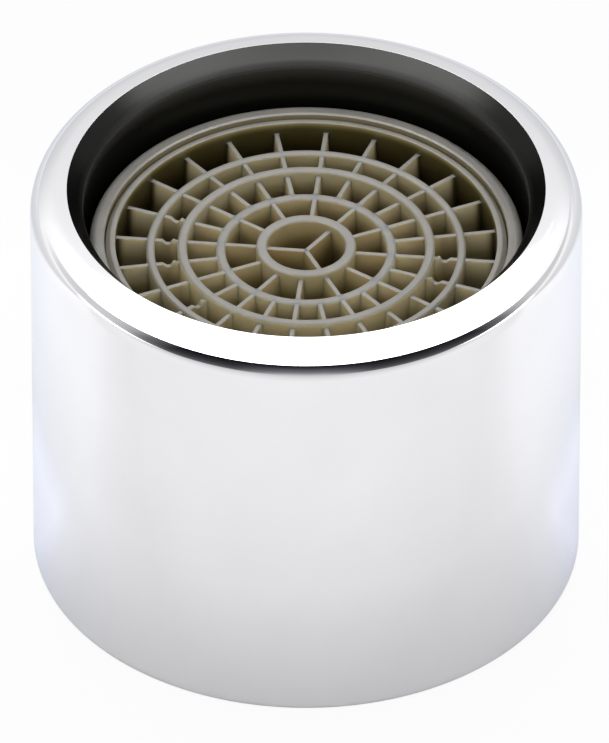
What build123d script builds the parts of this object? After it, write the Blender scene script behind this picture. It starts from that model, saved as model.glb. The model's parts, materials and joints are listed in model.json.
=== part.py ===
from build123d import *
from math import atan, degrees, hypot
import os

# Tap aerator with an inner spout thread, standing on its inlet end with the outlet up.
# Millimetres. The flow axis is Z: the inlet face lies at Z = 0 and water leaves upwards.

# Spout thread: the bore is plain at the thread's minor diameter, which its crests would reach
thread_diameter = 22.0
thread_depth = 0.54
thread_length = 5.7
thread_lead_in = 0.3
thread_wall = 1.0
relief_depth = 0.15

# Outlet end of the housing: the bore round the insert opens into a bevelled mouth
ledge_overlap = 0.6
outlet_recess = 2.7
mouth_width = 0.7
mouth_depth = 0.95
rim_round = 1.3
foot_round = 0.3

# Sealing washer
washer_thickness = 1.6
washer_width = 2.9
washer_gap = 0.1
washer_clearance = 0.25

# Insert sleeve
insert_clearance = 0.16
flange_thickness = 1.4
air_gap = 0.25
barrel_wall = 0.66
barrel_round = 0.32
barrel_edge = 0.07
chamber_length = 2.7
shoulder_width = 0.79
seat_step = 0.16
window_count = 8
window_width = 3.6
window_height = 1.2
window_land = 0.3

# Jet plate
plate_thickness = 1.2
plate_clearance = 0.05
jet_count = 24
jet_diameter = 0.9
jet_circle_inset = 2.6
spreader_base = 4.4
spreader_tip = 0.9
spreader_height = 1.3

# Strainer
strainer_clearance = 0.1
strainer_wall = 0.45
strainer_rim_height = 0.5
strainer_depth = 1.5
skirt_inset = 0.2
skirt_depth = 0.5
skirt_clearance = 0.05
sieve_columns = 9
sieve_hole = 1.05
sieve_margin = 0.95

# Wire screens and the ring between them
screen_clearance = 0.1
screen_thickness = 0.4
screen_columns = 9
screen_hole = 1.35
screen_margin = 1.1
spacer_height = 0.5
spacer_width = 0.65

# Outlet grid: rings are counted from the hub outwards, the rim is the last
grid_height = 3.7
grid_rim_drop = 0.13
grid_clearance = 0.05
grid_rim_wall = 0.43
grid_rim_slope = 0.2
ring_walls = (0.47, 0.42, 0.41, 0.36)
hub_ring_radius = 1.94
ring_places = (0.0, 0.27, 0.525, 0.735)
ring_drops = (0.42, 0.63, 0.42, 0.56)
fin_count = 24
fin_drop = 0.66
fin_root = 0.5
fin_tip = 0.14
web_drop = 0.72
web_arms = 3
web_first_fin = 2
first_fin_angle = 84.0
notched_fins = (6, 7, 15, 17, 18, 19)
notch_width = 0.45
notch_depth = 0.16
bead_height = 0.06
bead_width = 0.5
bead_lift = 1.2

# Radii that follow from those sizes
thread_radius = thread_diameter / 2
minor_radius = thread_radius - thread_depth
relief_radius = thread_radius + relief_depth
housing_radius = thread_radius + thread_wall
flange_radius = minor_radius - insert_clearance
outlet_radius = flange_radius - ledge_overlap
mouth_radius = outlet_radius + mouth_width
barrel_radius = outlet_radius - air_gap
sleeve_bore_radius = barrel_radius - barrel_wall
chamber_radius = sleeve_bore_radius - shoulder_width
seat_radius = sleeve_bore_radius + seat_step
plate_radius = seat_radius - plate_clearance
jet_circle_radius = plate_radius - jet_circle_inset
washer_radius = relief_radius - washer_clearance
washer_hole_radius = washer_radius - washer_width
strainer_radius = washer_hole_radius - strainer_clearance
skirt_radius = strainer_radius - skirt_inset
skirt_hole_radius = skirt_radius - strainer_wall
screen_radius = sleeve_bore_radius - screen_clearance
grid_radius = sleeve_bore_radius - grid_clearance
grid_bore_radius = grid_radius - grid_rim_wall
rim_ring_radius = grid_radius - grid_rim_wall / 2
ring_span = rim_ring_radius - hub_ring_radius
ring_radii = [hub_ring_radius + place * ring_span for place in ring_places] + [rim_ring_radius]

# Heights of the stack, from the inlet face up
thread_end = thread_lead_in + thread_length
washer_base = thread_end + washer_gap
flange_base = washer_base + washer_thickness
ledge_base = flange_base + flange_thickness
plate_top = flange_base + plate_thickness
shoulder_top = ledge_base + chamber_length
spacer_base = shoulder_top + screen_thickness
upper_screen_base = spacer_base + spacer_height
grid_base = upper_screen_base + screen_thickness
insert_top = grid_base + grid_height
housing_height = insert_top + outlet_recess

os.makedirs("parts", exist_ok=True)


def square_places(columns, reach):
    """Centres of a square pattern, so many columns wide, that lie within reach of the axis."""
    steps = columns // 2
    rows = range(-steps, steps + 1)
    cells = [(column, row) for column in rows for row in rows if hypot(column, row) <= steps]
    return [(column * reach / steps, row * reach / steps) for column, row in cells]


# Housing: one turned section, then the rounds on its two outer edges
with BuildPart() as housing:
    with BuildSketch(Plane.XZ):
        with BuildLine():
            Polyline(
                (thread_radius, 0),
                (housing_radius, 0),
                (housing_radius, housing_height),
                (mouth_radius, housing_height),
                (outlet_radius, housing_height - mouth_depth),
                (outlet_radius, ledge_base),
                (relief_radius, ledge_base),
                (relief_radius, thread_end),
                (minor_radius, thread_end),
                (minor_radius, thread_lead_in),
                close=True,
            )
        make_face()
    revolve(axis=Axis.Z)
    outer_edges = housing.edges().filter_by(GeomType.CIRCLE).group_by(SortBy.RADIUS)[-1]
    fillet(outer_edges.sort_by(Axis.Z)[-1], radius=rim_round)
    fillet(outer_edges.sort_by(Axis.Z)[0], radius=foot_round)
housing.part.label = "housing"
export_step(housing.part, "parts/housing.step")

# Sealing washer, in the relief groove against the insert's flange
with BuildPart() as sealing_washer:
    with BuildSketch(Plane.XY.offset(washer_base)):
        Circle(washer_radius)
        Circle(washer_hole_radius, mode=Mode.SUBTRACT)
    extrude(amount=washer_thickness)
sealing_washer.part.label = "sealing_washer"
export_step(sealing_washer.part, "parts/sealing_washer.step")

# Insert sleeve: flange under the ledge, barrel with air windows, shoulder for the screens
with BuildPart() as insert_sleeve:
    with BuildSketch(Plane.XZ):
        with BuildLine():
            Polyline(
                (seat_radius, flange_base),
                (flange_radius, flange_base),
                (flange_radius, ledge_base),
                (barrel_radius, ledge_base),
                (barrel_radius, insert_top),
                (sleeve_bore_radius, insert_top),
                (sleeve_bore_radius, shoulder_top),
                (chamber_radius, shoulder_top),
                (chamber_radius, plate_top),
                (seat_radius, plate_top),
                close=True,
            )
        make_face()
    revolve(axis=Axis.Z)
    end_edges = insert_sleeve.edges().filter_by(GeomType.CIRCLE).group_by(Axis.Z)[-1]
    fillet(end_edges.sort_by(SortBy.RADIUS)[-1], radius=barrel_round)
    chamfer(end_edges.sort_by(SortBy.RADIUS)[0], length=barrel_edge)
    with BuildSketch(Plane.XY.offset(shoulder_top - window_land)):
        with PolarLocations(barrel_radius, window_count):
            Rectangle(barrel_radius, window_width)
    extrude(amount=-window_height, mode=Mode.SUBTRACT)
    with BuildSketch(Plane.XY.offset(grid_base + bead_lift)):
        Circle(sleeve_bore_radius + bead_height)
        Circle(sleeve_bore_radius, mode=Mode.SUBTRACT)
    extrude(amount=bead_width + 2 * grid_clearance, mode=Mode.SUBTRACT)
insert_sleeve.part.label = "insert_sleeve"
export_step(insert_sleeve.part, "parts/insert_sleeve.step")

# Jet plate: groove for the strainer's skirt, ring of jets, cone that spreads them
with BuildPart() as jet_plate:
    with BuildSketch(Plane.XY.offset(flange_base)):
        Circle(plate_radius)
    extrude(amount=plate_thickness)
    with BuildSketch(Plane.XY.offset(flange_base)):
        Circle(skirt_radius + skirt_clearance)
        Circle(skirt_hole_radius - skirt_clearance, mode=Mode.SUBTRACT)
    extrude(amount=skirt_depth + skirt_clearance, mode=Mode.SUBTRACT)
    with Locations((0, 0, plate_top)):
        Cone(spreader_base, spreader_tip, spreader_height, align=(Align.CENTER, Align.CENTER, Align.MIN))
    with BuildSketch(Plane.XY.offset(flange_base)):
        with PolarLocations(jet_circle_radius, jet_count):
            Circle(jet_diameter / 2)
    extrude(amount=plate_thickness, mode=Mode.SUBTRACT)
jet_plate.part.label = "jet_plate"
export_step(jet_plate.part, "parts/jet_plate.step")

# Strainer: shallow dome with square meshes and a skirt that snaps into the jet plate
with BuildPart() as strainer:
    dome_edge = flange_base - strainer_rim_height
    dome_base = flange_base - strainer_depth
    with BuildSketch(Plane.XZ):
        with BuildLine():
            TangentArc((0, dome_base), (strainer_radius, dome_edge), tangent=(1, 0))
            Polyline(
                (strainer_radius, dome_edge),
                (strainer_radius, flange_base),
                (skirt_radius, flange_base),
                (skirt_radius, flange_base + skirt_depth),
                (skirt_hole_radius, flange_base + skirt_depth),
                (skirt_hole_radius, dome_edge + strainer_wall),
            )
            TangentArc(
                (0, dome_base + strainer_wall),
                (skirt_hole_radius, dome_edge + strainer_wall),
                tangent=(1, 0),
            )
            Line((0, dome_base), (0, dome_base + strainer_wall))
        make_face()
    revolve(axis=Axis.Z)
    with BuildSketch(Plane.XY.offset(dome_base)):
        with Locations(*square_places(sieve_columns, skirt_hole_radius - sieve_margin)):
            Rectangle(sieve_hole, sieve_hole)
    extrude(amount=strainer_depth, mode=Mode.SUBTRACT)
strainer.part.label = "strainer"
export_step(strainer.part, "parts/strainer.step")

# Two wire screens on the sleeve's shoulder, held apart by a ring
for screen_name, screen_base in (("lower_screen", shoulder_top), ("upper_screen", upper_screen_base)):
    with BuildPart() as screen:
        with BuildSketch(Plane.XY.offset(screen_base)):
            Circle(screen_radius)
            with Locations(*square_places(screen_columns, screen_radius - screen_margin)):
                Rectangle(screen_hole, screen_hole, mode=Mode.SUBTRACT)
        extrude(amount=screen_thickness)
    screen.part.label = screen_name
    export_step(screen.part, f"parts/{screen_name}.step")

with BuildPart() as screen_spacer:
    with BuildSketch(Plane.XY.offset(spacer_base)):
        Circle(screen_radius)
        Circle(screen_radius - spacer_width, mode=Mode.SUBTRACT)
    extrude(amount=spacer_height)
screen_spacer.part.label = "screen_spacer"
export_step(screen_spacer.part, "parts/screen_spacer.step")

# Outlet grid: drafted fins between concentric rings, a web in the hub, a rim that snaps in
fin_pitch = 360 / fin_count
fin_draft = degrees(atan((fin_root - fin_tip) / 2 / grid_height))
with BuildPart() as outlet_grid:
    with BuildSketch(Plane.XY.offset(grid_base)):
        Circle(grid_radius)
        Circle(grid_bore_radius, mode=Mode.SUBTRACT)
    extrude(amount=grid_height - grid_rim_drop)
    rim_edges = outlet_grid.edges().filter_by(GeomType.CIRCLE).group_by(Axis.Z)[-1]
    chamfer(rim_edges.sort_by(SortBy.RADIUS)[-1], length=grid_rim_slope)
    with BuildSketch(Plane.XY.offset(grid_base + bead_lift + grid_clearance)):
        Circle(grid_radius + bead_height)
        Circle(grid_bore_radius, mode=Mode.SUBTRACT)
    extrude(amount=bead_width)
    for ring_radius, ring_wall, ring_drop in zip(ring_radii, ring_walls, ring_drops):
        with BuildSketch(Plane.XY.offset(grid_base)):
            Circle(ring_radius + ring_wall / 2)
            Circle(ring_radius - ring_wall / 2, mode=Mode.SUBTRACT)
        extrude(amount=grid_height - ring_drop)
    for band, (inner_radius, outer_radius) in enumerate(zip(ring_radii, ring_radii[1:])):
        count = fin_count // 2 if band == 0 else fin_count
        with BuildSketch(Plane.XY.offset(grid_base)):
            with PolarLocations((inner_radius + outer_radius) / 2, count, start_angle=first_fin_angle):
                Rectangle(outer_radius - inner_radius, fin_root)
        extrude(amount=grid_height - fin_drop, taper=fin_draft)
    web_angle = first_fin_angle - web_first_fin * fin_pitch
    with BuildSketch(Plane.XY.offset(grid_base)):
        with PolarLocations(hub_ring_radius / 2, web_arms, start_angle=web_angle):
            Rectangle(hub_ring_radius, fin_root)
    extrude(amount=grid_height - web_drop, taper=fin_draft)
    notch_radius = (ring_radii[2] + ring_radii[3]) / 2
    notch_top = insert_top - fin_drop
    for fin in notched_fins:
        fin_plane = Plane.XZ.rotated((0, 0, first_fin_angle - fin * fin_pitch))
        with BuildSketch(fin_plane):
            with BuildLine():
                Polyline(
                    (notch_radius - notch_width / 2, notch_top),
                    (notch_radius, notch_top - notch_depth),
                    (notch_radius + notch_width / 2, notch_top),
                    close=True,
                )
            make_face()
        extrude(amount=fin_root, both=True, mode=Mode.SUBTRACT)
outlet_grid.part.label = "outlet_grid"
export_step(outlet_grid.part, "parts/outlet_grid.step")
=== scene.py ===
import json
import math

import bmesh
import bpy
from mathutils import Matrix, Vector


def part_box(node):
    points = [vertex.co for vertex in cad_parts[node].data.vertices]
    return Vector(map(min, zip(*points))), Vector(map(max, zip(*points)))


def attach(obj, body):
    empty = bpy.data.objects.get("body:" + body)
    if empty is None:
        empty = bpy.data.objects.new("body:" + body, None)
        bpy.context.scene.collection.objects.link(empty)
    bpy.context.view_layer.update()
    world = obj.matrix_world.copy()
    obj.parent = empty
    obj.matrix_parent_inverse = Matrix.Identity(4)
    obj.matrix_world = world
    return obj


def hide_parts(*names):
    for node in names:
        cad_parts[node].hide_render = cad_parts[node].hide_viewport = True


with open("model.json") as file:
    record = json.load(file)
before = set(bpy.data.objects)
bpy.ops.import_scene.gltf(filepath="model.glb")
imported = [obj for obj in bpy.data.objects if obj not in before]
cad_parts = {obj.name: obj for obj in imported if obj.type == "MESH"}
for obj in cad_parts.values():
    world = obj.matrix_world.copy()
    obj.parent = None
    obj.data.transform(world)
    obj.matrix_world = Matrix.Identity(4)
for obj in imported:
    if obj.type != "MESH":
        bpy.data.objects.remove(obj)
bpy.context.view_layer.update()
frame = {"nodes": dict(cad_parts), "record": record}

MM = 0.001

# Housing section, in millimetres, as the solid has it
housing_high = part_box("housing")[1]
outer_radius = housing_high.x / MM
housing_height = housing_high.z / MM
thread_mount = frame["record"]["mounts"][0]["dims"]
minor_radius = thread_mount["r_mm"]
thread_length = thread_mount["length_mm"]
thread_pitch = 1.0
thread_depth = 0.54
thread_crest = 0.25  # shares of the pitch
thread_flank = 0.625
thread_run_out = 0.3
thread_rows_per_mm = 20
major_radius = minor_radius + thread_depth
lead_in = 0.3
thread_end = lead_in + thread_length
relief_depth = 0.15
relief_round = 0.05
relief_radius = major_radius + relief_depth
foot_round = 0.3
rim_round = 1.3
mouth_radius = 10.4
mouth_edge = 0.02
mouth_depth = 0.95
bevel_points = ((10.015, 0.45, 4.0), (9.71, 0.815, 0.12))  # radius, depth, rounding
outlet_radius = 9.7
outlet_round = 0.1
flange_thickness = 1.4
ledge_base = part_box("insert_sleeve")[0].z / MM + flange_thickness
ledge_round = 0.1
rim_slope = 5.0
housing_segments = 288
housing_arc_steps = 20
radius_slack = 0.01  # for radii that come back in single precision

# Outlet grid, in millimetres; rings are counted from the hub outwards and drops from the sleeve's end
grid_low, grid_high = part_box("outlet_grid")
grid_base = grid_low.z / MM
grid_top = grid_high.z / MM
sleeve_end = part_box("insert_sleeve")[1].z / MM
grid_radius = 8.74
grid_rim_wall = 0.43
grid_rim_slope = 0.2
grid_rim_rounds = (0.05, 0.08, 0.06)
grid_bead = 0.06
bead_lift = 1.25
bead_width = 0.5
bead_ramp = 0.1
ring_radii = (1.94, 3.718, 5.397, 6.78, 8.525)
ring_walls = (0.47, 0.42, 0.41, 0.36, 0.43)
ring_drops = (0.42, 0.63, 0.42, 0.56)
fin_counts = (12, 24, 24, 24)
fin_drop = 0.66
fin_root = 0.5
fin_tip = 0.14
fin_fillet = 0.05
first_fin_angle = 84.0
web_arms = 3
web_drop = 0.72
web_angle = 54.0
notched_fins = (6, 7, 15, 17, 18, 19)
notch_width = 0.45
notch_depth = 0.16
notch_lip = 0.04
notch_lip_places = (0.14, 0.1, 0.02)  # towards the hub from the notch
notch_slope = 0.1
notch_floor_end = 0.04
fin_edge = 0.05
ring_edge = 0.13

# Washer and wire screens, in millimetres
washer_hole_radius = 8.0
washer_foot_round = 0.22
washer_round = 0.12
washer_segments = 160
wire_radius = 0.1
wire_pitch = 0.75
wire_sides = 6
wire_steps_per_pitch = 4

# Angles in degrees at which an edge is kept sharp
turned_sharp_angle = 35
moulded_sharp_angle = 50
wire_sharp_angle = 70

# Camera, as in the photograph: 609 x 743 pixels, 23 of them to the millimetre at the object
image_width = 609
image_height = 743
pixels_per_mm = 23.04
camera_elevation = 38.5
camera_distance = 800
axis_pixel_x = 306.2
mouth_pixel_y = 188.1


def link(piece):
    """Puts a new object into the scene."""
    bpy.context.scene.collection.objects.link(piece)
    return piece


def new_material(name):
    """A material with a node tree, and its principled shader."""
    material = bpy.data.materials.new(name)
    material.use_nodes = True
    shader = material.node_tree.nodes["Principled BSDF"]
    return material, material.node_tree, shader


def noise_value(tree, scale, detail, stretch=(1, 1, 1)):
    """A noise value between 0 and 1 over the object's own coordinates, scale in cells per metre."""
    place = tree.nodes.new("ShaderNodeTexCoord")
    mapping = tree.nodes.new("ShaderNodeMapping")
    mapping.inputs["Scale"].default_value = stretch
    noise = tree.nodes.new("ShaderNodeTexNoise")
    noise.inputs["Scale"].default_value = scale
    noise.inputs["Detail"].default_value = detail
    tree.links.new(place.outputs["Object"], mapping.inputs["Vector"])
    tree.links.new(mapping.outputs["Vector"], noise.inputs["Vector"])
    return noise.outputs["Fac"]


def ramp(tree, value, stops):
    """A colour ramp over value; stops are (place, colour)."""
    node = tree.nodes.new("ShaderNodeValToRGB")
    elements = node.color_ramp.elements
    while len(elements) < len(stops):
        elements.new(0.5)
    for element, (place, colour) in zip(elements, stops):
        element.position = place
        element.color = (*colour, 1)
    tree.links.new(value, node.inputs["Fac"])
    return node.outputs["Color"]


def map_range(tree, value, low, high):
    """Value from 0 to 1 mapped to low to high."""
    node = tree.nodes.new("ShaderNodeMapRange")
    node.inputs["To Min"].default_value = low
    node.inputs["To Max"].default_value = high
    tree.links.new(value, node.inputs["Value"])
    return node.outputs["Result"]


def band_ramp(tree, value, low, high, stops):
    """A colour ramp over value, with stops (place, colour) given between low and high."""
    node = tree.nodes.new("ShaderNodeMapRange")
    node.inputs["From Min"].default_value = low
    node.inputs["From Max"].default_value = high
    tree.links.new(value, node.inputs["Value"])
    return ramp(tree, node.outputs["Result"], [((at - low) / (high - low), colour) for at, colour in stops])


def grey_stops(*stops):
    """Stops of a grey ramp, from (place, grey)."""
    return [(at, (grey, grey, grey)) for at, grey in stops]


def height_ramp(tree, level, low, high, stops):
    """A colour ramp over the height above a level; low, high and the stops in millimetres."""
    place = tree.nodes.new("ShaderNodeTexCoord")
    split = tree.nodes.new("ShaderNodeSeparateXYZ")
    tree.links.new(place.outputs["Object"], split.inputs["Vector"])
    scaled = [((level + at) * MM, colour) for at, colour in stops]
    return band_ramp(tree, split.outputs["Z"], (level + low) * MM, (level + high) * MM, scaled)


def spread_ramp(tree, low, high, stops):
    """A colour ramp over the distance from the axis; low, high and the stops in millimetres."""
    place = tree.nodes.new("ShaderNodeTexCoord")
    flat = tree.nodes.new("ShaderNodeVectorMath")
    flat.operation = "MULTIPLY"
    flat.inputs[1].default_value = (1, 1, 0)
    length = tree.nodes.new("ShaderNodeVectorMath")
    length.operation = "LENGTH"
    tree.links.new(place.outputs["Object"], flat.inputs[0])
    tree.links.new(flat.outputs["Vector"], length.inputs[0])
    scaled = [(at * MM, colour) for at, colour in stops]
    return band_ramp(tree, length.outputs["Value"], low * MM, high * MM, scaled)


def blend(tree, kind, first, second, share=None):
    """Two colours blended, wholly or by a share."""
    node = tree.nodes.new("ShaderNodeMixRGB")
    node.blend_type = kind
    node.inputs["Fac"].default_value = 1.0
    if share:
        tree.links.new(share, node.inputs["Fac"])
    tree.links.new(first, node.inputs["Color1"])
    tree.links.new(second, node.inputs["Color2"])
    return node.outputs[0]


def add_bump(tree, shader, value, height):
    """Bump of a height in metres from a value between 0 and 1."""
    bump = tree.nodes.new("ShaderNodeBump")
    bump.inputs["Strength"].default_value = 1.0
    bump.inputs["Distance"].default_value = height
    tree.links.new(value, bump.inputs["Height"])
    tree.links.new(bump.outputs["Normal"], shader.inputs["Normal"])


def chrome_material():
    """Polished chrome plate with a faint haze."""
    material, tree, shader = new_material("chrome_plate")
    shader.inputs["Metallic"].default_value = 1.0
    shader.inputs["Specular Tint"].default_value = (0.92, 0.945, 1.0, 1)
    haze = noise_value(tree, 260, 3)
    colour = ramp(tree, haze, [(0.3, (0.94, 0.938, 0.96)), (0.7, (0.965, 0.962, 0.985))])
    tree.links.new(colour, shader.inputs["Base Color"])
    tree.links.new(map_range(tree, haze, 0.03, 0.07), shader.inputs["Roughness"])
    return material


def bore_material():
    """Inside of the mouth: dull metal on the bevel, a lighter band below it and nearly black further down;
    this colour is painted light and shade.
    """
    material, tree, shader = new_material("outlet_bore")
    lowest = -2.5
    metal_stops = grey_stops((-1.5, 0.85), (-0.96, 0.58), (-0.87, 0.5), (-0.77, 0.86))
    metal = height_ramp(tree, housing_height, lowest, 0, metal_stops)
    tree.links.new(metal, shader.inputs["Metallic"])
    shader.inputs["Specular Tint"].default_value = (0.05, 0.05, 0.05, 1)
    # Painted light and shade: a lighter band just below the bevel, then darker and darker down the bore to
    # nearly black.
    stops = [(-2.2, (0.02, 0.02, 0.016)), (-1.65, (0.022, 0.022, 0.018)), (-1.3, (0.042, 0.042, 0.036))]
    stops += [(-0.96, (0.058, 0.057, 0.052)), (-0.87, (0.09, 0.088, 0.082)), (-0.77, (0.028, 0.028, 0.027))]
    colour = height_ramp(tree, housing_height, lowest, 0, stops)
    tree.links.new(colour, shader.inputs["Base Color"])
    tone = noise_value(tree, 420, 3, (1, 1, 3))
    polish_stops = grey_stops((-1.5, 0.3), (-0.82, 0.48), (-0.55, 0.2))
    polish = height_ramp(tree, housing_height, lowest, 0, polish_stops)
    polish = blend(tree, "MULTIPLY", polish, map_range(tree, tone, 0.85, 1.15))
    tree.links.new(polish, shader.inputs["Roughness"])
    return material


def thread_material():
    """Bare brass with a thin grey plate, at the inlet end."""
    material, tree, shader = new_material("thread_brass")
    shader.inputs["Metallic"].default_value = 1.0
    tone = noise_value(tree, 500, 4)
    colour = ramp(tree, tone, [(0.35, (0.42, 0.36, 0.24)), (0.65, (0.56, 0.53, 0.45))])
    tree.links.new(colour, shader.inputs["Base Color"])
    tree.links.new(map_range(tree, tone, 0.22, 0.38), shader.inputs["Roughness"])
    return material


def plastic_material(name, paint, roughness):
    """Moulded plastic, a little translucent; paint makes its colour from a mottle."""
    material, tree, shader = new_material(name)
    shader.inputs["Specular IOR Level"].default_value = 0.8
    mottle = noise_value(tree, 700, 4)
    tree.links.new(paint(tree, mottle), shader.inputs["Base Color"])
    spread = 0.06
    polish = map_range(tree, mottle, roughness - spread, roughness + spread)
    tree.links.new(polish, shader.inputs["Roughness"])
    shader.inputs["Subsurface Weight"].default_value = 0.5
    shader.inputs["Subsurface Radius"].default_value = (1.0, 0.75, 0.4)
    shader.inputs["Subsurface Scale"].default_value = 0.0006
    add_bump(tree, shader, noise_value(tree, 5200, 3), 0.000008)
    return material


def jet_paint(tree, mottle):
    """Off-white."""
    return ramp(tree, mottle, [(0.3, (0.60, 0.58, 0.52)), (0.7, (0.66, 0.64, 0.58))])


def insert_paint(tree, mottle):
    """Beige, with painted light and shade from ring to ring, a painted grey sheen on what faces up, painted
    shade down the cells and painted shade down the wall by the rim.
    """
    walls = ramp(tree, mottle, [(0.3, (0.56, 0.5, 0.32)), (0.7, (0.63, 0.565, 0.365))])
    # Colour darkens deeper down the cells: painted shade.
    cell_shade_stops = [(-2.6, (0.15, 0.11, 0.06)), (-1.7, (0.4, 0.35, 0.25))]
    cell_shade_stops += [(-1, (0.84, 0.8, 0.73)), (-0.5, (1, 1, 1))]
    walls = blend(tree, "MULTIPLY", walls, height_ramp(tree, sleeve_end, -3, 0, cell_shade_stops))
    # Painted light and shade ring by ring: lighter and bluer just outside the rings' outer walls, darker
    # towards the rim.
    ring_light_and_shade_stops = [(1.6, (0.68, 0.63, 0.5)), (2.1, (0.82, 0.8, 0.72)), (3.55, (0.84, 0.82, 0.76))]
    ring_light_and_shade_stops += [(3.85, (1.1, 1.13, 1.15)), (5.15, (0.74, 0.74, 0.74)), (5.45, (0.76, 0.76, 0.76))]
    ring_light_and_shade_stops += [(5.6, (1.3, 1.34, 1.36)), (6.0, (0.69, 0.7, 0.7)), (6.7, (0.77, 0.78, 0.78))]
    ring_light_and_shade_stops += [(7.0, (1.08, 1.15, 1.25)), (7.9, (1.08, 1.15, 1.25)), (8.2, (0.56, 0.54, 0.48))]
    ring_light_and_shade_stops += [(8.7, (0.4, 0.38, 0.33))]
    walls = blend(tree, "MULTIPLY", walls, spread_ramp(tree, 0, 10, ring_light_and_shade_stops))
    # Down the wall by the rim the colour darkens strongly with depth: painted shade.
    rim_shade_stops = [(-0.95, (0.15, 0.14, 0.05)), (-0.5, (0.17, 0.16, 0.058)), (-0.33, (0.43, 0.41, 0.22))]
    rim_shade_stops += [(-0.22, (0.9, 0.88, 0.7))]
    rim_shaded = blend(tree, "MULTIPLY", walls, height_ramp(tree, sleeve_end, -1, 0, rim_shade_stops))
    rim_wall = spread_ramp(tree, 0, 10, grey_stops((8.05, 0), (8.25, 1), (8.36, 1), (8.5, 0)))
    walls = blend(tree, "MIX", walls, rim_shaded, rim_wall)
    # Faces that point up get a grey in place of the beige: a painted sheen.
    bloom_and_sheen = ramp(tree, mottle, [(0.3, (0.255, 0.245, 0.225)), (0.7, (0.30, 0.29, 0.27))])
    geometry = tree.nodes.new("ShaderNodeNewGeometry")
    split = tree.nodes.new("ShaderNodeSeparateXYZ")
    tree.links.new(geometry.outputs["Normal"], split.inputs["Vector"])
    upward = band_ramp(tree, split.outputs["Z"], 0, 1, grey_stops((0.08, 0), (0.7, 1)))
    return blend(tree, "MIX", walls, bloom_and_sheen, upward)


def rubber_material():
    """Matt black rubber with a dusty bloom."""
    material, tree, shader = new_material("seal_rubber")
    bloom_and_sheen = noise_value(tree, 900, 5)
    colour = ramp(tree, bloom_and_sheen, [(0.35, (0.012, 0.012, 0.012)), (0.7, (0.03, 0.03, 0.029))])
    tree.links.new(colour, shader.inputs["Base Color"])
    tree.links.new(map_range(tree, bloom_and_sheen, 0.55, 0.75), shader.inputs["Roughness"])
    add_bump(tree, shader, noise_value(tree, 4000, 3), 0.00001)
    return material


def wire_material():
    """Drawn stainless wire."""
    material, tree, shader = new_material("screen_wire")
    shader.inputs["Metallic"].default_value = 1.0
    tone = noise_value(tree, 1500, 2)
    colour = ramp(tree, tone, [(0.3, (0.45, 0.45, 0.44)), (0.7, (0.6, 0.6, 0.58))])
    tree.links.new(colour, shader.inputs["Base Color"])
    tree.links.new(map_range(tree, tone, 0.25, 0.4), shader.inputs["Roughness"])
    return material


def rounded(corners, steps=6):
    """The line through corners (radius, height, rounding) with an arc at each rounded corner."""
    points = []
    for index, (r, z, rounding) in enumerate(corners):
        corner = Vector((r, z))
        if rounding == 0 or index in (0, len(corners) - 1):
            points.append(corner)
            continue
        back = (Vector(corners[index - 1][:2]) - corner).normalized()
        ahead = (Vector(corners[index + 1][:2]) - corner).normalized()
        half = back.angle(ahead) / 2
        centre = corner + (back + ahead).normalized() * rounding / math.sin(half)
        start = corner + back * rounding / math.tan(half) - centre
        sweep = math.pi - 2 * half
        if start.x * ahead.y - start.y * ahead.x < 0:
            sweep = -sweep
        points += [centre + Matrix.Rotation(sweep * step / steps, 2) @ start for step in range(steps + 1)]
    return points


def smooth(mesh, sharp_angle):
    """Smooth shading with sharp edges above an angle in degrees."""
    mesh.polygons.foreach_set("use_smooth", [True] * len(mesh.polygons))
    mesh.set_sharp_from_angle(angle=math.radians(sharp_angle))


def even_normals(piece):
    """Shading that follows the larger faces."""
    normals = piece.modifiers.new("weighted_normals", "WEIGHTED_NORMAL")
    normals.keep_sharp = True


def piece_from(form, name, material, sharp_angle):
    """A new object from a form of closed shapes."""
    bmesh.ops.recalc_face_normals(form, faces=form.faces)
    mesh = bpy.data.meshes.new(name)
    form.to_mesh(mesh)
    form.free()
    mesh.materials.append(material)
    smooth(mesh, sharp_angle)
    return link(bpy.data.objects.new(name, mesh))


def bridge(form, first, second):
    """Faces between two closed loops of as many vertices."""
    for row in range(len(first)):
        following = (row + 1) % len(first)
        form.faces.new((first[row], second[row], second[following], first[following]))


def lathe(name, rows, segments, materials, radius_at=None):
    """A closed ring turned from rows (radius, height, material index), in millimetres."""
    vertices = []
    for r, z, _ in rows:
        for column in range(segments):
            angle = 2 * math.pi * column / segments
            turned = radius_at(r, z, angle) if radius_at else r
            vertices.append((turned * math.cos(angle) * MM, turned * math.sin(angle) * MM, z * MM))
    faces = []
    slots = []
    for row in range(len(rows)):
        following = (row + 1) % len(rows)
        for column in range(segments):
            beside = (column + 1) % segments
            corners = [(row, column), (row, beside), (following, beside), (following, column)]
            faces.append([r * segments + c for r, c in corners])
            slots.append(rows[row][2])
    mesh = bpy.data.meshes.new(name)
    mesh.from_pydata(vertices, [], faces)
    mesh.polygons.foreach_set("material_index", slots)
    smooth(mesh, turned_sharp_angle)
    for material in materials:
        mesh.materials.append(material)
    piece = link(bpy.data.objects.new(name, mesh))
    even_normals(piece)
    return piece


def thread_groove(r, z, angle):
    """Radius of the inlet bore with the right-hand thread and its lead-in; wider radii stay."""
    if r > minor_radius + radius_slack:
        return r
    phase = (z / thread_pitch - angle / (2 * math.pi)) % 1
    wave = 1 - abs(2 * phase - 1)
    groove = thread_depth * min(1, max(0, (wave - thread_crest) / thread_flank))
    run_out = min(1, (thread_end - z) / thread_run_out)
    cone = thread_depth * max(0, 1 - z / lead_in)
    return r + max(cone, groove * run_out)


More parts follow.
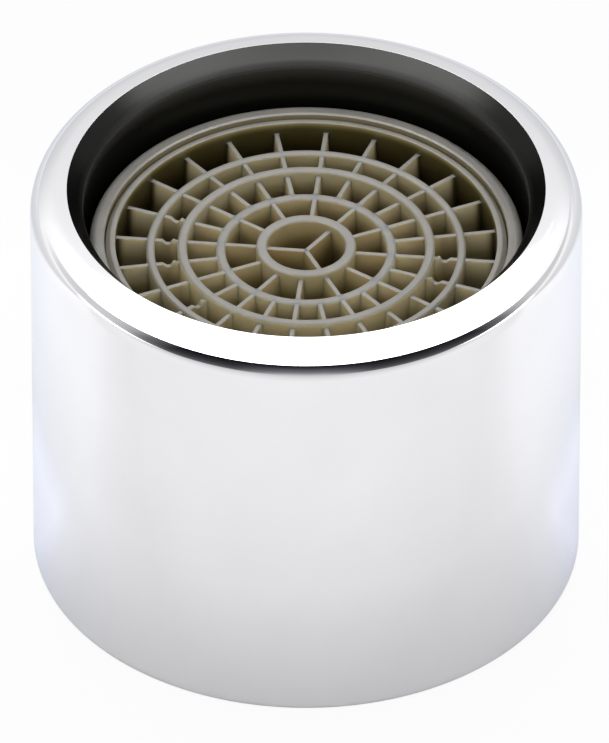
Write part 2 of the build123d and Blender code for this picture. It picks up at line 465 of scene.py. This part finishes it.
def make_housing(chrome, bore, brass):
    """The chromed shell with its thread; its rim falls a little outwards."""
    rim_drop = (outer_radius - mouth_radius) * math.tan(math.radians(rim_slope))
    outside = rounded([
        (major_radius, 0, 0),
        (outer_radius, 0, foot_round),
        (outer_radius, housing_height - rim_drop, rim_round),
        (mouth_radius, housing_height, mouth_edge),
        *[(r, housing_height - depth, rounding) for r, depth, rounding in bevel_points],
        (outlet_radius, housing_height - mouth_depth, outlet_round),
        (outlet_radius, ledge_base, 0),
    ], housing_arc_steps)
    inlet = rounded([
        (outlet_radius, ledge_base, 0),
        (relief_radius, ledge_base, ledge_round),
        (relief_radius, thread_end, relief_round),
        (minor_radius, thread_end, 0),
    ])
    thread_rows = int(thread_end * thread_rows_per_mm)
    thread = [Vector((minor_radius, thread_end * (1 - row / thread_rows))) for row in range(1, thread_rows)]
    precision = 1e-6
    mouth_start = next(i for i, p in enumerate(outside) if p.x <= mouth_radius + precision)
    rows = [(*p, 1 if i >= mouth_start else 0) for i, p in enumerate(outside)]
    rows += [(*p, 2) for p in inlet[1:] + thread]
    piece = lathe("housing_shell", rows, housing_segments, [chrome, bore, brass], thread_groove)
    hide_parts("housing")
    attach(piece, "root")


def make_washer(rubber):
    """The flat rubber washer, with softened edges."""
    low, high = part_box("sealing_washer")
    base, top, radius = low.z / MM, high.z / MM, high.x / MM
    middle = (washer_hole_radius + radius) / 2
    section = rounded([
        (middle, base, 0),
        (radius, base, washer_foot_round),
        (radius, top, washer_round),
        (washer_hole_radius, top, washer_round),
        (washer_hole_radius, base, washer_foot_round),
        (middle, base, 0),
    ])
    piece = lathe("washer_ring", [(*p, 0) for p in section[:-1]], washer_segments, [rubber])
    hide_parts("sealing_washer")
    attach(piece, "root")


def dress(node, material):
    """Gives a solid that stays as it is a material and even shading."""
    piece = frame["nodes"][node]
    piece.data.materials.clear()
    piece.data.materials.append(material)
    even_normals(piece)


def add_ring(form, section, segments=192):
    """Turns a closed section of (radius, height) points into a ring."""
    columns = []
    for column in range(segments):
        angle = 2 * math.pi * column / segments
        across = Vector((math.cos(angle), math.sin(angle), 0))
        columns.append([form.verts.new((across * p.x + Vector((0, 0, p.y))) * MM) for p in section])
    for first, second in zip(columns, columns[1:] + columns[:1]):
        bridge(form, first, second)


def add_bar(form, angle, stations):
    """A drafted bar along a radius; stations are (radius, top height, added half width)."""
    along = Vector((math.cos(angle), math.sin(angle), 0))
    across = Vector((-along.y, along.x, 0))
    slope = (fin_root - fin_tip) / 2 / (sleeve_end - grid_base)
    sections = []
    for radius, top, added in stations:
        foot = fin_root / 2 + added
        crown = foot - slope * (top - grid_base)
        corners = [(-foot, grid_base, 0), (-crown, top, fin_edge)]
        corners += [(crown, top, fin_edge), (foot, grid_base, 0)]
        middle = along * radius
        outline = [middle + across * p.x + Vector((0, 0, p.y)) for p in rounded(corners, 4)]
        sections.append([form.verts.new(place * MM) for place in outline])
    for first, second in zip(sections, sections[1:]):
        bridge(form, first, second)
    form.faces.new(sections[0])
    form.faces.new(sections[-1])


def fillet_stations(wall, direction, top, steps=4):
    """Stations that flare a bar out towards a ring's wall; direction points away from the ring."""
    stations = []
    for step in range(steps + 1):
        away = fin_fillet * step / steps
        flare = fin_fillet - math.sqrt(fin_fillet ** 2 - (fin_fillet - away) ** 2)
        stations.append((wall + direction * away, top, flare))
    return stations


def notch_stations(middle, top):
    """Stations of the broken-off gate in a fin: a small notch with a lip on the hub's side."""
    start = middle - notch_width / 2
    lip_start, lip_crest, lip_end = [start - place for place in notch_lip_places]
    return [
        (lip_start, top, 0),
        (lip_crest, top + notch_lip, 0),
        (lip_end, top + notch_lip, 0),
        (start + notch_slope, top - notch_depth, 0),
        (middle + notch_floor_end, top - notch_depth, 0),
        (middle + notch_width / 2, top, 0),
    ]


def add_fin(form, band, index):
    """One fin of a band, between two rings."""
    inner, outer = ring_radii[band], ring_radii[band + 1]
    top = sleeve_end - fin_drop
    stations = [(inner, top, fin_fillet)]
    stations += fillet_stations(inner + ring_walls[band] / 2, 1, top)
    if band == 2 and index in notched_fins:
        stations += notch_stations((inner + outer) / 2, top)
    stations += reversed(fillet_stations(outer - ring_walls[band + 1] / 2, -1, top))
    stations.append((outer, top, fin_fillet))
    angle = first_fin_angle - index * 360 / fin_counts[band]
    add_bar(form, math.radians(angle), stations)


def make_grid(plastic):
    """The moulded outlet grid: rings, drafted fins and the web in the hub."""
    form = bmesh.new()
    for radius, wall, drop in zip(ring_radii, ring_walls, ring_drops):
        inner, outer, top = radius - wall / 2, radius + wall / 2, sleeve_end - drop
        corners = [(radius, grid_base, 0), (outer, grid_base, 0), (outer, top, ring_edge)]
        corners += [(inner, top, ring_edge), (inner, grid_base, 0), (radius, grid_base, 0)]
        add_ring(form, rounded(corners)[:-1])
    bore = grid_radius - grid_rim_wall
    bead_base = grid_base + bead_lift
    bead_top = bead_base + bead_width
    rim = [
        (bore, grid_base, 0), (grid_radius, grid_base, 0),
        (grid_radius, bead_base, 0), (grid_radius + grid_bead, bead_base + bead_ramp, 0),
        (grid_radius + grid_bead, bead_top - bead_ramp, 0), (grid_radius, bead_top, 0),
        (grid_radius, grid_top - grid_rim_slope, grid_rim_rounds[0]),
        (grid_radius - grid_rim_slope, grid_top, grid_rim_rounds[1]),
        (bore, grid_top, grid_rim_rounds[2]), (bore, grid_base, 0),
    ]
    add_ring(form, rounded(rim)[:-1])
    for band, count in enumerate(fin_counts):
        for index in range(count):
            add_fin(form, band, index)
    web_top = sleeve_end - web_drop
    reach = ring_radii[0] - ring_walls[0] / 2
    for arm in range(web_arms):
        stations = [(0, web_top, 0), *reversed(fillet_stations(reach, -1, web_top))]
        stations.append((ring_radii[0], web_top, fin_fillet))
        add_bar(form, math.radians(web_angle + arm * 360 / web_arms), stations)
    piece = piece_from(form, "grid_moulding", plastic, moulded_sharp_angle)
    even_normals(piece)
    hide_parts("outlet_grid")
    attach(piece, "root")


def add_wire(form, line, along_x, radius, level, rotation):
    """One wire of a weave, that passes over and under the wires across it."""
    reach = math.sqrt(max(0, radius ** 2 - (line * wire_pitch) ** 2))
    steps = max(2, int(2 * reach / wire_pitch * wire_steps_per_pitch))
    rings = []
    for step in range(steps + 1):
        along = -reach + 2 * reach * step / steps
        swing = math.cos(math.pi * (along / wire_pitch + line))
        rise = wire_radius * (swing if along_x else -swing)
        ring = []
        for side in range(wire_sides):
            around = 2 * math.pi * side / wire_sides
            across = line * wire_pitch + wire_radius * math.cos(around)
            z = level + rise + wire_radius * math.sin(around)
            place = (along, across, z) if along_x else (across, along, z)
            ring.append(form.verts.new(rotation @ Vector(place) * MM))
        rings.append(ring)
    for first, second in zip(rings, rings[1:]):
        bridge(form, first, second)
    form.faces.new(rings[0])
    form.faces.new(rings[-1])


def make_screen(node, name, turn, wire):
    """A disc of plain-woven wire, turned about the axis by an angle in degrees."""
    low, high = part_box(node)
    radius = high.x / MM - wire_radius
    level = (low.z + high.z) / 2 / MM
    rotation = Matrix.Rotation(math.radians(turn), 3, "Z")
    count = int(radius / wire_pitch)
    form = bmesh.new()
    for along_x in (True, False):
        for line in range(-count, count + 1):
            add_wire(form, line, along_x, radius, level, rotation)
    piece = piece_from(form, name, wire, wire_sharp_angle)
    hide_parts(node)
    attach(piece, "root")


def direction_dot(tree, axis):
    """Dot product of the direction into the world with an axis."""
    place = tree.nodes.new("ShaderNodeTexCoord")
    node = tree.nodes.new("ShaderNodeVectorMath")
    node.operation = "DOT_PRODUCT"
    node.inputs[1].default_value = axis
    tree.links.new(place.outputs["Generated"], node.inputs[0])
    return node.outputs["Value"]


def ray_share(tree, camera_share, mirror_share):
    """A share for rays from the camera, and another for rays off gloss and through clear matter."""
    path = tree.nodes.new("ShaderNodeLightPath")
    mirrored = tree.nodes.new("ShaderNodeMath")
    mirrored.operation = "MAXIMUM"
    tree.links.new(path.outputs["Is Glossy Ray"], mirrored.inputs[0])
    tree.links.new(path.outputs["Is Transmission Ray"], mirrored.inputs[1])
    weighted = tree.nodes.new("ShaderNodeMath")
    weighted.operation = "MULTIPLY"
    weighted.inputs[1].default_value = mirror_share
    tree.links.new(mirrored.outputs[0], weighted.inputs[0])
    total = tree.nodes.new("ShaderNodeMath")
    total.operation = "MULTIPLY_ADD"
    total.inputs[1].default_value = camera_share
    tree.links.new(path.outputs["Is Camera Ray"], total.inputs[0])
    tree.links.new(weighted.outputs[0], total.inputs[2])
    return total.outputs[0]


def make_floor():
    """A pale floor with painted shade round the object and painted light and shade along it, that shows
    nearly white to the camera and keeps its shadow.
    """
    mesh = bpy.data.meshes.new("studio_floor")
    reach = 1.5
    corners = [(-reach, -reach, 0), (reach, -reach, 0), (reach, reach, 0), (-reach, reach, 0)]
    mesh.from_pydata(corners, [], [(0, 1, 2, 3)])
    material = bpy.data.materials.new("studio_floor")
    material.use_nodes = True
    tree = material.node_tree
    tree.nodes.clear()
    output = tree.nodes.new("ShaderNodeOutputMaterial")
    place = tree.nodes.new("ShaderNodeTexCoord")
    split = tree.nodes.new("ShaderNodeSeparateXYZ")
    tree.links.new(place.outputs["Object"], split.inputs["Vector"])
    paint = tree.nodes.new("ShaderNodeBsdfDiffuse")
    # Painted light and shade along the floor, graded front to back for what the chrome mirrors.
    painted_floor_shades = grey_stops((-0.4, 0.5), (-0.14, 0.6), (-0.068, 0.7), (-0.042, 0.78), (-0.018, 0.76))
    painted_floor_shades += grey_stops((-0.013, 0.745), (-0.009, 0.78), (-0.004, 0.88), (0.012, 0.92))
    painted_floor_shades += grey_stops((0.02, 0.88), (0.03, 0.6), (0.06, 0.62), (0.15, 0.7))
    along = band_ramp(tree, split.outputs["Y"], -0.5, 0.2, painted_floor_shades)
    # Painted shadow: darker close round the foot, with a faint painted blue beside the object for the
    # chrome's edges to mirror.
    outer_stops = grey_stops((20, 0.87), (27, 0.95), (36, 0.97))
    front = spread_ramp(tree, 0, 50, grey_stops((12, 0.6), (16, 0.74)) + outer_stops)
    side_stops = [(12, (0.8, 0.81, 0.86)), (16, (0.92, 0.93, 0.97)), (18.5, (0.85, 0.86, 0.875))]
    side = spread_ramp(tree, 0, 50, side_stops + outer_stops)
    beside_stops = grey_stops((-0.0055, 0), (-0.0025, 0.4), (-0.0005, 1), (0.006, 1), (0.011, 0))
    beside = band_ramp(tree, split.outputs["Y"], -0.006, 0.012, beside_stops)
    around = blend(tree, "MIX", front, side, beside)
    tree.links.new(blend(tree, "MULTIPLY", along, around), paint.inputs["Color"])
    glow = tree.nodes.new("ShaderNodeEmission")
    glow.inputs["Color"].default_value = (1, 1, 1, 1)
    uncovered = spread_ramp(tree, 0, 50, grey_stops((11.2, 0), (11.5, 1)))
    share = blend(tree, "MULTIPLY", ray_share(tree, 0.94, 0.12), uncovered)
    mix = tree.nodes.new("ShaderNodeMixShader")
    tree.links.new(share, mix.inputs["Fac"])
    tree.links.new(paint.outputs[0], mix.inputs[1])
    tree.links.new(glow.outputs[0], mix.inputs[2])
    tree.links.new(mix.outputs[0], output.inputs["Surface"])
    mesh.materials.append(material)
    link(bpy.data.objects.new("studio_floor", mesh))


def reflected_studio(tree):
    """What gloss sees: a white tent, greyer behind, with lamps in front, open to a dark room low down."""
    behind = direction_dot(tree, (0, 1, 0))
    tent = band_ramp(tree, behind, 0.5, 1, grey_stops((0.66, 1.07), (0.78, 0.885), (0.87, 0.75)))
    height = direction_dot(tree, (0, 0, 1))
    tent = blend(tree, "MULTIPLY", tent, band_ramp(tree, height, 0, 1, grey_stops((0, 0.88), (0.5, 1))))
    lamps = band_ramp(tree, behind, -1, 1, grey_stops((-0.1, 5), (0.14, 0)))
    lamps = blend(tree, "MULTIPLY", lamps, band_ramp(tree, height, 0, 1, grey_stops((0.66, 1), (0.8, 0))))
    tent = blend(tree, "ADD", tent, lamps)
    low = band_ramp(tree, direction_dot(tree, (0, 0.246, 1)), 0, 0.5, grey_stops((0.4, 1), (0.432, 0)))
    ahead_stops = grey_stops((0.3, 1), (0.58, 0.8), (0.76, 0))
    ahead = band_ramp(tree, direction_dot(tree, (-0.2, 1, 0)), -1, 1, ahead_stops)
    room_stops = [(0, (0.55, 0.55, 0.56)), (0.07, (0.36, 0.355, 0.37)), (0.2, (0.17, 0.165, 0.18))]
    room_stops += [(0.33, (0.1, 0.095, 0.11)), (0.45, (0.04, 0.036, 0.046)), (0.56, (0.004, 0.003, 0.008))]
    room = band_ramp(tree, height, 0, 1, room_stops)
    side_stops = grey_stops((-0.8, 0.22), (-0.45, 0.25), (-0.12, 1), (0.12, 1), (0.42, 0.25), (0.8, 0.22))
    room = blend(tree, "MULTIPLY", room, band_ramp(tree, direction_dot(tree, (1, 0, 0)), -1, 1, side_stops))
    aside_stops = grey_stops((-0.46, 0), (-0.29, 0.12), (-0.16, 0.4))
    aside_stops += grey_stops((-0.04, 0.54), (0.09, 0.6), (0.25, 0.6))
    room = blend(tree, "ADD", room, band_ramp(tree, direction_dot(tree, (-0.15, 1, 0)), -1, 1, aside_stops))
    skirt = band_ramp(tree, direction_dot(tree, (0, -0.15, 1)), 0, 0.5, grey_stops((0.03, 0), (0.09, 1)))
    share = blend(tree, "MULTIPLY", blend(tree, "MULTIPLY", low, ahead), skirt)
    return blend(tree, "MIX", tent, room, share)


def make_world():
    """Plain soft light; gloss sees the studio, and the camera a white backdrop."""
    world = bpy.data.worlds.new("studio")
    bpy.context.scene.world = world
    world.use_nodes = True
    tree = world.node_tree
    light = tree.nodes["Background"]
    sky = band_ramp(tree, direction_dot(tree, (0, 1, 0)), -1, 1, grey_stops((-0.8, 1.2), (0.8, 0.85)))
    tree.links.new(sky, light.inputs["Color"])
    studio = tree.nodes.new("ShaderNodeBackground")
    tree.links.new(reflected_studio(tree), studio.inputs["Color"])
    white = tree.nodes.new("ShaderNodeBackground")
    white.inputs["Color"].default_value = (1, 1, 1, 1)
    seen = tree.nodes.new("ShaderNodeMixShader")
    tree.links.new(ray_share(tree, 0, 1), seen.inputs["Fac"])
    tree.links.new(light.outputs[0], seen.inputs[1])
    tree.links.new(studio.outputs[0], seen.inputs[2])
    mix = tree.nodes.new("ShaderNodeMixShader")
    tree.links.new(ray_share(tree, 1, 0), mix.inputs["Fac"])
    tree.links.new(seen.outputs[0], mix.inputs[1])
    tree.links.new(white.outputs[0], mix.inputs[2])
    tree.links.new(mix.outputs[0], tree.nodes["World Output"].inputs["Surface"])


def make_lights():
    """One large soft box over the back of the object."""
    lamp = bpy.data.lights.new("soft_box", "AREA")
    lamp.shape = "RECTANGLE"
    lamp.size = 0.5
    lamp.size_y = 0.27
    lamp.energy = 0.5
    box = link(bpy.data.objects.new("soft_box", lamp))
    box.location = (-0.06, 0.235, 0.44)
    box.rotation_mode = "QUATERNION"
    box.rotation_quaternion = box.location.to_track_quat("Z", "Y")


def make_camera():
    """A long lens at the photograph's angle, framed on its pixels."""
    camera = bpy.data.cameras.new("photo_camera")
    seen_height = image_height / pixels_per_mm
    camera.sensor_width = 36
    camera.lens = camera.sensor_width * camera_distance / seen_height
    camera.clip_start = 0.05
    camera.clip_end = 20
    elevation = math.radians(camera_elevation)
    towards = Vector((0, math.cos(elevation), -math.sin(elevation)))
    up = Vector((0, math.sin(elevation), math.cos(elevation)))
    right_shift = (image_width / 2 - axis_pixel_x) / pixels_per_mm
    up_shift = (mouth_pixel_y - image_height / 2) / pixels_per_mm
    target = Vector((0, 0, housing_height)) + Vector((1, 0, 0)) * right_shift + up * up_shift
    holder = link(bpy.data.objects.new("photo_camera", camera))
    holder.location = (target - towards * camera_distance) * MM
    holder.rotation_mode = "QUATERNION"
    holder.rotation_quaternion = towards.to_track_quat("-Z", "Y")
    bpy.context.scene.camera = holder


insert_plastic = plastic_material("insert_plastic", insert_paint, roughness=0.38)
jet_plastic = plastic_material("jet_plastic", jet_paint, roughness=0.4)

make_housing(chrome_material(), bore_material(), thread_material())
make_washer(rubber_material())
make_grid(insert_plastic)
dress("insert_sleeve", insert_plastic)
dress("screen_spacer", insert_plastic)
dress("jet_plate", jet_plastic)
dress("strainer", jet_plastic)
steel_wire = wire_material()
make_screen("lower_screen", "lower_weave", 20, steel_wire)
make_screen("upper_screen", "upper_weave", 0, steel_wire)

make_floor()
make_world()
make_lights()
make_camera()
bpy.context.scene.view_settings.view_transform = "Standard"
